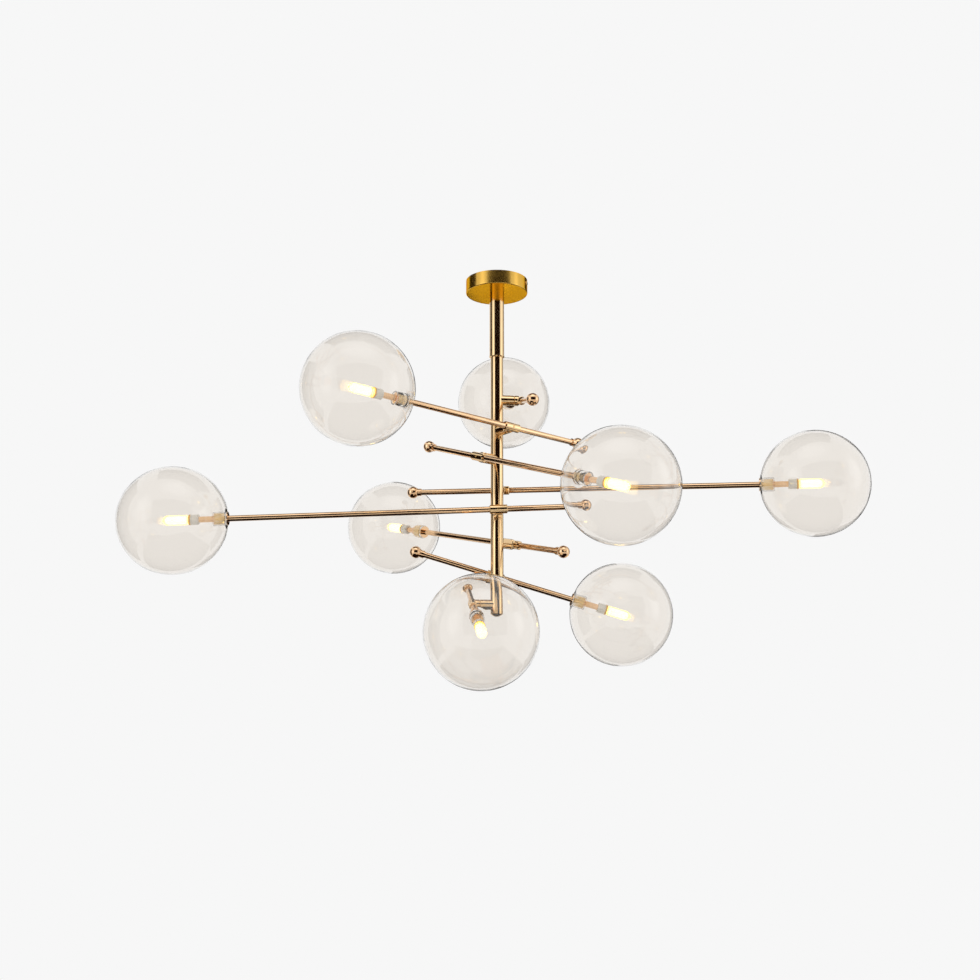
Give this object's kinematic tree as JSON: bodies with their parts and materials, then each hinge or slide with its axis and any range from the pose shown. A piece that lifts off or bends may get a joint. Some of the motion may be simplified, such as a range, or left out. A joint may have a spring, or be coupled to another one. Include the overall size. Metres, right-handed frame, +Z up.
{
  "type": "branch chandelier",
  "caption": "Ceiling chandelier with clear glass globes on brass rods that cross one stem at staggered heights and tilt on friction swivels.",
  "frame": {"origin": "centre of the canopy's rim and of the bracket's top face, where the light meets the ceiling", "axes": "+Z up into the ceiling along the stem; -Y towards the viewer of the picture; +X to their right"},
  "size_m": [1.2506, 0.6883, 0.7207],
  "materials": {
    "canopy_brass": "lathe-brushed and lacquered",
    "satin_brass": "satin plated",
    "rod_brass": "satin plated",
    "brass_screws": "polished",
    "zinc_steel": "zinc plated",
    "spring_steel": "tempered",
    "terminal_plastic": "moulded",
    "clear_glass": "clear blown",
    "white_ceramic": "glazed steatite ceramic",
    "lamp_glass": "frosted, lit"
  },
  "bodies": {
    "stem": {"canopy": "canopy_brass", "ceiling_bracket": "zinc_steel", "canopy_screws": "brass_screws", "terminal_block": "terminal_plastic", "stem_nipple": "zinc_steel", "nipple_nut": "zinc_steel", "stem_upper": "satin_brass", "stem_coupling": "satin_brass", "stem_lower": "satin_brass", "stem_end_cap": "satin_brass", "swivel_bases": "satin_brass", "spring_washers": "spring_steel"},
    "arm_1": {"swivel_head_1": "satin_brass", "arm_rod_1": "rod_brass", "ball_knob_1": "rod_brass", "glass_globe_1": "clear_glass", "lamp_holder_1": "white_ceramic", "capsule_lamp_1": "lamp_glass"},
    "arm_2": {"swivel_head_2": "satin_brass", "arm_rod_2": "rod_brass", "ball_knob_2": "rod_brass", "glass_globe_2": "clear_glass", "lamp_holder_2": "white_ceramic", "capsule_lamp_2": "lamp_glass"},
    "arm_3": {"swivel_head_3": "satin_brass", "arm_rod_3": "rod_brass", "ball_knob_3": "rod_brass", "glass_globe_3": "clear_glass", "lamp_holder_3": "white_ceramic", "capsule_lamp_3": "lamp_glass"},
    "arm_4": {"swivel_head_4": "satin_brass", "arm_rod_4": "rod_brass", "ball_knob_4": "rod_brass", "glass_globe_4": "clear_glass", "lamp_holder_4": "white_ceramic", "capsule_lamp_4": "lamp_glass"},
    "arm_5": {"swivel_head_5": "satin_brass", "arm_rod_5": "rod_brass", "ball_knob_5": "rod_brass", "glass_globe_5": "clear_glass", "lamp_holder_5": "white_ceramic", "capsule_lamp_5": "lamp_glass"},
    "arm_6": {"swivel_head_6": "satin_brass", "arm_rod_6": "rod_brass", "ball_knob_6": "rod_brass", "glass_globe_6": "clear_glass", "lamp_holder_6": "white_ceramic", "capsule_lamp_6": "lamp_glass"},
    "arm_7": {"swivel_head_7": "satin_brass", "arm_rod_7": "rod_brass", "ball_knob_7": "rod_brass", "glass_globe_7": "clear_glass", "lamp_holder_7": "white_ceramic", "capsule_lamp_7": "lamp_glass"},
    "arm_8": {"swivel_head_8": "satin_brass", "arm_rod_8": "rod_brass", "ball_knob_8": "rod_brass", "glass_globe_8": "clear_glass", "lamp_holder_8": "white_ceramic", "capsule_lamp_8": "lamp_glass"}
  },
  "joints": [
    {"name": "arm_1_tilt", "type": "hinge", "parent": "stem", "child": "arm_1", "pos_m": [0.02469, -0.03398, -0.277], "axis": [-0.5878, 0.809, 0], "range_deg": [-35, 20]},
    {"name": "arm_2_tilt", "type": "hinge", "parent": "stem", "child": "arm_2", "pos_m": [0.04169, 0.00512, -0.22], "axis": [0.9925, 0.1219, 0], "range_deg": [-35, 15]},
    {"name": "arm_3_tilt", "type": "hinge", "parent": "stem", "child": "arm_3", "pos_m": [-0.03072, -0.02864, -0.328], "axis": [-0.7314, -0.682, 0], "range_deg": [-20, 15]},
    {"name": "arm_4_tilt", "type": "hinge", "parent": "stem", "child": "arm_4", "pos_m": [0.00729, 0.04136, -0.374], "axis": [-0.1736, -0.9848, 0], "range_deg": [-10, 15]},
    {"name": "arm_5_tilt", "type": "hinge", "parent": "stem", "child": "arm_5", "pos_m": [0.0022, -0.04194, -0.421], "axis": [-0.0523, 0.9986, 0], "range_deg": [-35, 15]},
    {"name": "arm_6_tilt", "type": "hinge", "parent": "stem", "child": "arm_6", "pos_m": [0.02918, 0.03021, -0.472], "axis": [0.6947, 0.7193, 0], "range_deg": [-15, 20]},
    {"name": "arm_7_tilt", "type": "hinge", "parent": "stem", "child": "arm_7", "pos_m": [-0.04177, -0.00439, -0.577], "axis": [-0.9945, -0.1045, 0], "range_deg": [-10, 20]},
    {"name": "arm_8_tilt", "type": "hinge", "parent": "stem", "child": "arm_8", "pos_m": [-0.00293, 0.0419, -0.526], "axis": [0.0698, -0.9976, 0], "range_deg": [-35, 20]}
  ]
}
